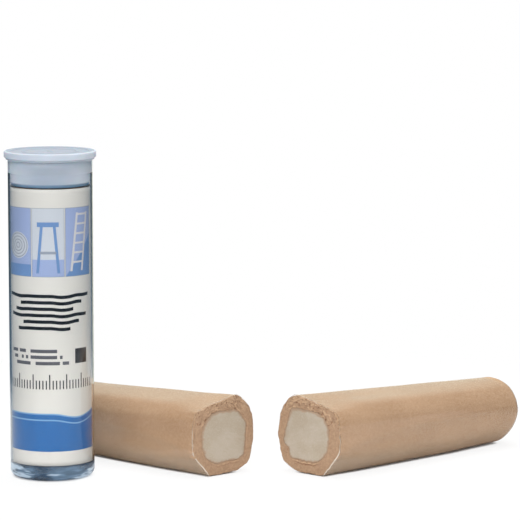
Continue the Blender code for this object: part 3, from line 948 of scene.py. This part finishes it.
knife = {
    # the values named Dark give painted shade, and those named Light give painted highlights
    "slow": (3.2 * mm, 11, 2), "slowHigh": 0.08,
    "drag": (0.55 * mm, 14, 2), "dragRing": 4 * mm, "dragHigh": (0.05, 0.14),
    "chunk": (0.40 * mm, 12, 3), "chunkRing": 5 * mm, "chunkHigh": (0.03, 0.15),
    "chunkDark": 0.13, "chunkDarkFrom": 0.3,
    "pits": (0.42 * mm, 13, 2), "pitFrom": 0.58, "pitTorn": 0.14, "pitSharp": 3.0,
    "pitDeep": (0.06, 0.22), "pitDark": (0.35, 0.6),
    "ledgeTurn": np.radians(262), "ledgeReach": np.radians(34), "ledgeFade": np.radians(14),
    "ledge": (0.45 * mm, 0.28 * mm), "ledgeRise": 0.32 * mm, "ledgeLight": 0.7,
    "crease": (0.95 * mm, 0.16 * mm), "creaseDeep": 0.6, "creaseDark": 0.5,
    "wander": (1.2 * mm, 15, 3), "wanderReach": 0.14 * mm,
    "crumbFrom": 0.05, "crumbSharp": 1.5, "crumbLight": 0.6,
    "groove": 0.10 * mm, "grooveWide": 0.30 * mm,
    "rag": (1.3 * mm, 21, 3), "ragHigh": 0.22, "ragMore": 0.2, "ragFade": 1.5 * mm,
    "shoulder": (np.radians(52), np.radians(20)), "front": (0, np.radians(40)),
    # a painted amber glow of light through the far corner's thin top
    "paintedAmberGlow": 0.7, "amberTurn": np.radians(96), "amberReach": np.radians(24),
    "amberAlong": 79.8 * mm, "amberLong": 1.8 * mm,
    # painted shade along the edge of the film's lap
    "seam": 0.34, "seamWide": np.radians(1.1), "seamFrom": 70 * mm,
}


def tornAway(radius, face):
    # height of the cut rim in metres, the painted shade of its hollows and crease and the painted highlights
    # of its
    # crumbs and ledge: drag lines follow the rim all round, crumbs and pits lie where the knife tore the top,
    # and a ledge overhangs below the core
    ripped = tornTop * face["torn"] + 0 * radius

    def strength(key):
        plain, more = knife[key]
        return plain + more * ripped

    spot = ringSpots(radius)
    slow = faceGrain(spot, knife["slow"], face)
    drag = faceGrain(ringSpots(knife["dragRing"], radius), knife["drag"], face)
    chunk = faceGrain(ringSpots(knife["chunkRing"], radius), knife["chunk"], face)
    pits = faceGrain(spot, knife["pits"], face) - knife["pitFrom"] + knife["pitTorn"] * ripped
    pits = ease(pits * knife["pitSharp"])
    low = ease((knife["ledgeReach"] - fromTurn(knife["ledgeTurn"])) / knife["ledgeFade"]) * face["ledge"]
    wander = knife["wanderReach"] * faceGrain(spot, knife["wander"], face)
    fromCore = radius - coreRadius(atCut, face) + wander
    ledge, crease = (low * bell(fromCore - knife[key][0], knife[key][1]) for key in ("ledge", "crease"))
    height = knife["slowHigh"] * slow + strength("dragHigh") * drag + strength("chunkHigh") * chunk
    height = height * mm - strength("pitDeep") * mm * pits
    height = height + knife["ledgeRise"] * (ledge - knife["creaseDeep"] * crease)
    # painted shade: darker in pits, in the crease and where chunks are low
    hollow = pits * strength("pitDark") + knife["creaseDark"] * crease
    hollow = hollow - ripped * knife["chunkDark"] * np.minimum(chunk + knife["chunkDarkFrom"], 0)
    # painted highlights on the torn crumbs and on the ledge's edge
    crumbs = ripped * ease((chunk + knife["crumbFrom"]) * knife["crumbSharp"]) * knife["crumbLight"]
    crumbs = crumbs + knife["ledgeLight"] * ledge * ease(0.5 + chunk)
    return height, np.clip(hollow, 0, 1), np.clip(crumbs, 0, 1)


def buildJacket(name, face):
    # rows from the core's border over the cut face, rim, body and far end, and back along the bore
    side = face["side"]
    inner = coreRadius(atCut, face) + core["gap"]
    outer = outerRadius(atCut) - stick["inset"] - stick["rim"]
    faceR = inner + (outer - inner) * column(np.linspace(0, 1, stick["faceRows"]))
    faceHeight, faceHollowShade, faceCrumbLight = tornAway(faceR, face)
    faceHeight = faceHeight - knife["groove"] * bell(faceR - inner, knife["grooveWide"])
    bend = between(0, quarterTurn, stick["rimRows"])
    rimR = outer + stick["rim"] * np.sin(bend)
    rimAlong = stick["rim"] * (1 - np.cos(bend))
    rimHeight, rimHollowShade, rimCrumbLight = tornAway(rimR, face)
    along, drop = skinRows(stick["rim"], stick["inset"], stick["bodyRows"])
    # the rim is ragged, most of all at its shoulder and in front
    ragged = knife["ragHigh"] + knife["ragMore"] * nearTurn(*knife["shoulder"])
    ragged = (ragged + knife["ragMore"] * nearTurn(*knife["front"])) * mm
    rag = ragged * faceGrain(ringSpots(faceR[-1]), knife["rag"], face)
    bodyR = skinRadius(along, drop, side) + rag * np.exp(-along / knife["ragFade"])
    rimR = rimR + rag
    end, endR = along[-1:], bodyR[-1:]
    endR = endR + (coreRadius(end, face) + core["gap"] - endR) * steps(stick["endRows"])
    back = end * between(1, 0, stick["boreRows"])
    points = join([
        laid(atCut, faceR, side, faceHeight), laid(rimAlong, rimR, side, rimHeight * np.cos(bend)),
        laid(along, bodyR, side), laid(end, endR, side),
        laid(back, coreRadius(back, face) + core["gap"], side),
    ])
    # marks: the cut rows first, then the skin, which has a painted amber glow, as of light shining through,
    # where its far corner is thin on top
    paintedAmberGlow = (fromTurn(knife["amberTurn"]) / knife["amberReach"]) ** 2
    paintedAmberGlow = paintedAmberGlow + ((along - knife["amberAlong"]) / knife["amberLong"]) ** 4
    paintedAmberGlow = knife["paintedAmberGlow"] * np.exp(-paintedAmberGlow)
    # painted shade along the lap's edge, where the film's step would cast it
    seam = knife["seam"] * bell(fromTurn(lapEdge(along)), knife["seamWide"])
    seam = seam * ease(along / knife["seamFrom"])
    rest = np.zeros((stick["endRows"] + stick["boreRows"], len(around)))
    marks = {
        "cut": join([1 + 0 * faceR, 1 + 0 * rimR, 0 * bodyR, rest]),
        "paintedShadeAndGlow": join([faceHollowShade, rimHollowShade, paintedAmberGlow, rest]),
        "crumbLightAndSeamShade": join([faceCrumbLight, rimCrumbLight, seam, rest]),
    }
    made = gridObject(name + "Jacket", points, marks=marks)
    dress(made, tanSurface, name + "_stick", "tan_putty", name + "_jacket")


for name, face in faces.items():
    buildJacket(name, face)
    buildCore(name, face)
    buildFilm(name, face)
    print(name, "stick done")


# Fresh stick in the tube

fresh = {
    "radius": 10.7 * mm, "low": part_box("stick_film")[0].z, "high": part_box("stick_film")[1].z,
    "coreRadius": 7.3 * mm, "coreGap": 0.05 * mm, "corner": 0.9 * mm, "inset": 0.12 * mm, "film": 0.05 * mm,
    "rows": 30, "cornerRows": 8, "endRows": 7, "boreRows": 4, "coreRows": 6, "filmEndRows": 21,
    "uneven": (9 * mm, 51, 2), "unevenStretch": 0.4, "unevenDeep": 0.10 * mm,
    "foldSeed": 3, "foldShare": 0.3, "endHaze": 0.82, "foldHaze": 0.15,
    "lapTurn": np.radians(200), "lapReach": np.radians(60), "lapSoft": np.radians(1.2),
    "lapFade": np.radians(3),
}


def freshRows(inset):
    # (radius, height) up the stick's side, with a rounded corner at each end and slightly uneven all over
    low, high = fresh["low"] + inset, fresh["high"] - inset
    side, corner = fresh["radius"] - inset, fresh["corner"]
    bend = np.linspace(-quarterTurn, 0, fresh["cornerRows"] + 1)[:-1]
    lowR, lowZ = side - corner + corner * np.cos(bend), low + corner + corner * np.sin(bend)
    body = np.linspace(low + corner, high - corner, fresh["rows"])
    radius = column(join([lowR, np.full(fresh["rows"], side), lowR[::-1]]))
    height = column(join([lowZ, body, high + low - lowZ[::-1]]))
    uneven = grain(ringSpots(radius, height * fresh["unevenStretch"]), *fresh["uneven"])
    return radius - fresh["unevenDeep"] * (1 + uneven) / 2, height


def buildFreshJacket():
    # rows over the lower end, up the side, over the upper end and back down the bore
    sideR, height = freshRows(fresh["inset"])
    bore = fresh["coreRadius"] + fresh["coreGap"]
    ends = steps(fresh["endRows"])
    back = between(1, 0, fresh["boreRows"]) * (height[-1] - height[0]) + height[0]
    points = join([
        ringSpots(closing(sideR[:1], bore, ends)[::-1], height[:1]), ringSpots(sideR, height),
        ringSpots(closing(sideR[-1:], bore, ends), height[-1:]), ringSpots(0 * back + bore, back),
    ])
    zero = np.zeros(points.shape[:2])
    made = gridObject("freshJacket", points, marks={"cut": zero, "paintedShadeAndGlow": zero, "crumbLightAndSeamShade": zero})
    dress(made, tanSurface, "stick", "tan_putty", "stick_jacket")


def buildFreshCore():
    # a plain rod, from the middle of its lower end to the middle of its upper one
    height = freshRows(fresh["inset"])[1]
    low, high = height[:1], height[-1:]
    share = fresh["coreRadius"] * steps(fresh["endRows"])
    rod = between(low[0, 0], high[0, 0], fresh["coreRows"])
    points = join([
        ringSpots(share, low), ringSpots(0 * rod + fresh["coreRadius"], rod), ringSpots(share[::-1], high),
    ])
    zero = np.zeros(points.shape[:2])
    poles = [(0, 0, low[0, 0]), (0, 0, high[0, 0])]
    made = gridObject("freshCore", points, poles=poles, marks={"paintedShadeAndGlow": zero, "smear": zero})
    dress(made, paleSurface, "stick", "pale_putty", "stick_core")


def buildFreshFilm():
    # a thin shell with two gathered ends: its outside, then back along its inside
    share = steps(fresh["filmEndRows"])
    folds, crease = pleated(share, fresh["foldSeed"])
    folds = fresh["foldShare"] * folds
    layers = []
    for inset in (0.0, fresh["film"]):
        sideR, height = freshRows(inset)
        lowR, topR = (closing(ring, film["hole"], share) for ring in (sideR[:1], sideR[-1:]))
        layers.append(join([
            ringSpots(lowR[::-1], height[:1] + folds[::-1]), ringSpots(sideR, height),
            ringSpots(topR, height[-1:] - folds),
        ]))
    endHaze = fresh["endHaze"] + fresh["foldHaze"] * crease
    away = (fresh["lapTurn"] - around) % fullTurn
    lapped = ease(away / fresh["lapSoft"]) * ease((fresh["lapReach"] - away) / fresh["lapFade"])
    sideHaze = lapHaze(lapped) + 0 * height
    haze = join([endHaze[::-1], sideHaze, endHaze])
    points = join([layers[0], layers[1][::-1]])
    made = gridObject("freshFilm", points, marks={"haze": join([haze, haze[::-1]])})
    dress(made, filmSurface, "stick", "clear_film", "stick_film")


buildFreshJacket()
buildFreshCore()
buildFreshFilm()
print("fresh stick done")


# Studio

studio = {
    "floorHalf": 3.0, "floorDrop": 0.03 * mm, "floorNear": (0.95, 0.95, 0.95, 1.0),
    "floorFar": (0.09, 0.14, 0.19, 1.0), "floorPale": (0.97, 0.97, 0.97, 1.0), "floorWhite": 0.85,
    "shadowReach": (0.13, 0.23), "contact": 1.0 * mm, "contactSamples": 8, "contactEdge": (0.1, 0.75),
    "world": 0.55, "white": (1, 1, 1, 1), "warm": (0.96, 1.0, 0.86, 1.0),
    "backEdge": 0.80, "cardEdge": (0.94, 0.975), "highEdge": (0.2, 0.4), "firstBounce": 0.5,
    "camera": (0.0619, -0.8981, 0.1807), "pitch": np.radians(82.622), "lens": 211.8, "sensor": 36,
    "lamps": (
        {"name": "leftLamp", "place": (-0.20, -0.74, 0.70), "size": 0.45, "power": 3.45, "glint": True},
        {"name": "rightLamp", "place": (0.36, -0.66, 0.70), "size": 0.45, "power": 0.55, "glint": True},
        {"name": "topLamp", "place": (0.064, 0.18, 0.78), "size": 0.50, "power": 4.0, "glint": True},
        {"name": "lowLamp", "place": (0.064, -0.85, 0.12), "size": 0.35, "power": 1.5, "glint": False},
    ),
    "aim": (0.0637, 0.0, 0.04),
}


def seenShare(g, x, y, high=None):
    # how much a ray sees of the white surround: all of it from the camera or straight through something
    # clear, and off a gloss only where no dark card stands; x and y point to what the ray meets.
    # The second value is 1 for light turned back inside a clear wall, which comes from the dark sides
    span = (x ** 2 + y ** 2) ** 0.5
    gap = g.band(abs(x).most(abs(y)) / span, *studio["cardEdge"])
    if high:
        gap = gap.most(g.band(high, *studio["highEdge"]))
    through = g.ray("Is Transmission Ray")
    straight = through * (g.ray("Glossy Depth") < studio["firstBounce"])
    shine = g.ray("Is Glossy Ray") * (1 - through) * (y / span > studio["backEdge"]) * gap
    seen = straight.most(shine) * (g.ray("Diffuse Depth") < studio["firstBounce"])
    return g.ray("Is Camera Ray").most(seen), through - straight


def surround(g):
    # white, and a little warm off a gloss
    glossy = g.ray("Is Glossy Ray") * (1 - g.ray("Is Transmission Ray"))
    return g.mix(glossy, studio["white"], studio["warm"])


def buildFloor():
    # one square just under the object: it keeps the shadow near it and is white further off
    spot = np.array([-1, 1]) * studio["floorHalf"]
    x, y = np.meshgrid(spot, spot)
    mesh = bpy.data.meshes.new("floor")
    mesh.from_pydata(np.stack([x, y, 0 * x - studio["floorDrop"]], -1).reshape(-1, 3), [], [(0, 1, 3, 2)])
    floor = placed("floor", mesh)
    g = Graph("paleFloor")
    x, y = g.axes()[:2]
    x = x - studio["aim"][0]
    far = g.band((x ** 2 + y ** 2) ** 0.5, *studio["shadowReach"])
    seen, turned = seenShare(g, x, y)
    tone = g.mix(far.most(turned), studio["floorNear"], studio["floorFar"])
    matte = g.add("ShaderNodeBsdfDiffuse", {}, {"Color": g.mix(seen, tone, studio["floorPale"])})
    white = g.add("ShaderNodeEmission", {}, {"Color": surround(g), "Strength": 1.0})
    close = g.add("ShaderNodeAmbientOcclusion", {"samples": studio["contactSamples"]},
                  {"Distance": studio["contact"]}, out="AO")
    share = seen * (far * (1 - studio["floorWhite"]) + studio["floorWhite"])
    share = share * g.band(close, *studio["contactEdge"])
    mesh.materials.append(g.output(g.blend(share, matte, white)))


def buildWorld():
    # the surround: full strength where it is seen, weaker where it only lights the object
    world = bpy.data.worlds.new("studio")
    bpy.context.scene.world = world
    g = Graph(world=world)
    seen, turned = seenShare(g, *g.axes("Generated"))
    strength = seen * (1 - studio["world"]) + studio["world"]
    colour = g.mix(turned, surround(g), studio["floorFar"])
    g.output(g.add("ShaderNodeBackground", {}, {"Color": colour, "Strength": strength}), kind="World")


def buildLamps():
    # square lamps, each turned to face the same point
    for each in studio["lamps"]:
        lamp = bpy.data.lights.new(each["name"], "AREA")
        lamp.size = each["size"]
        lamp.energy = each["power"]
        holder = placed(each["name"], lamp)
        holder.location = each["place"]
        holder.visible_glossy = each["glint"]
        toward = np.array(studio["aim"]) - np.array(each["place"])
        flat = np.hypot(toward[0], toward[1])
        holder.rotation_euler = (np.arctan2(flat, -toward[2]), 0, np.arctan2(-toward[0], toward[1]))


def buildCamera():
    # level from side to side, and tilted down by its pitch
    lens = bpy.data.cameras.new("camera")
    lens.lens = studio["lens"]
    lens.sensor_width = studio["sensor"]
    camera = placed("camera", lens)
    camera.location = studio["camera"]
    camera.rotation_euler = (studio["pitch"], 0, 0)
    bpy.context.scene.camera = camera
    bpy.context.scene.view_settings.view_transform = "Standard"


buildFloor()
buildWorld()
buildLamps()
buildCamera()
print("studio done")
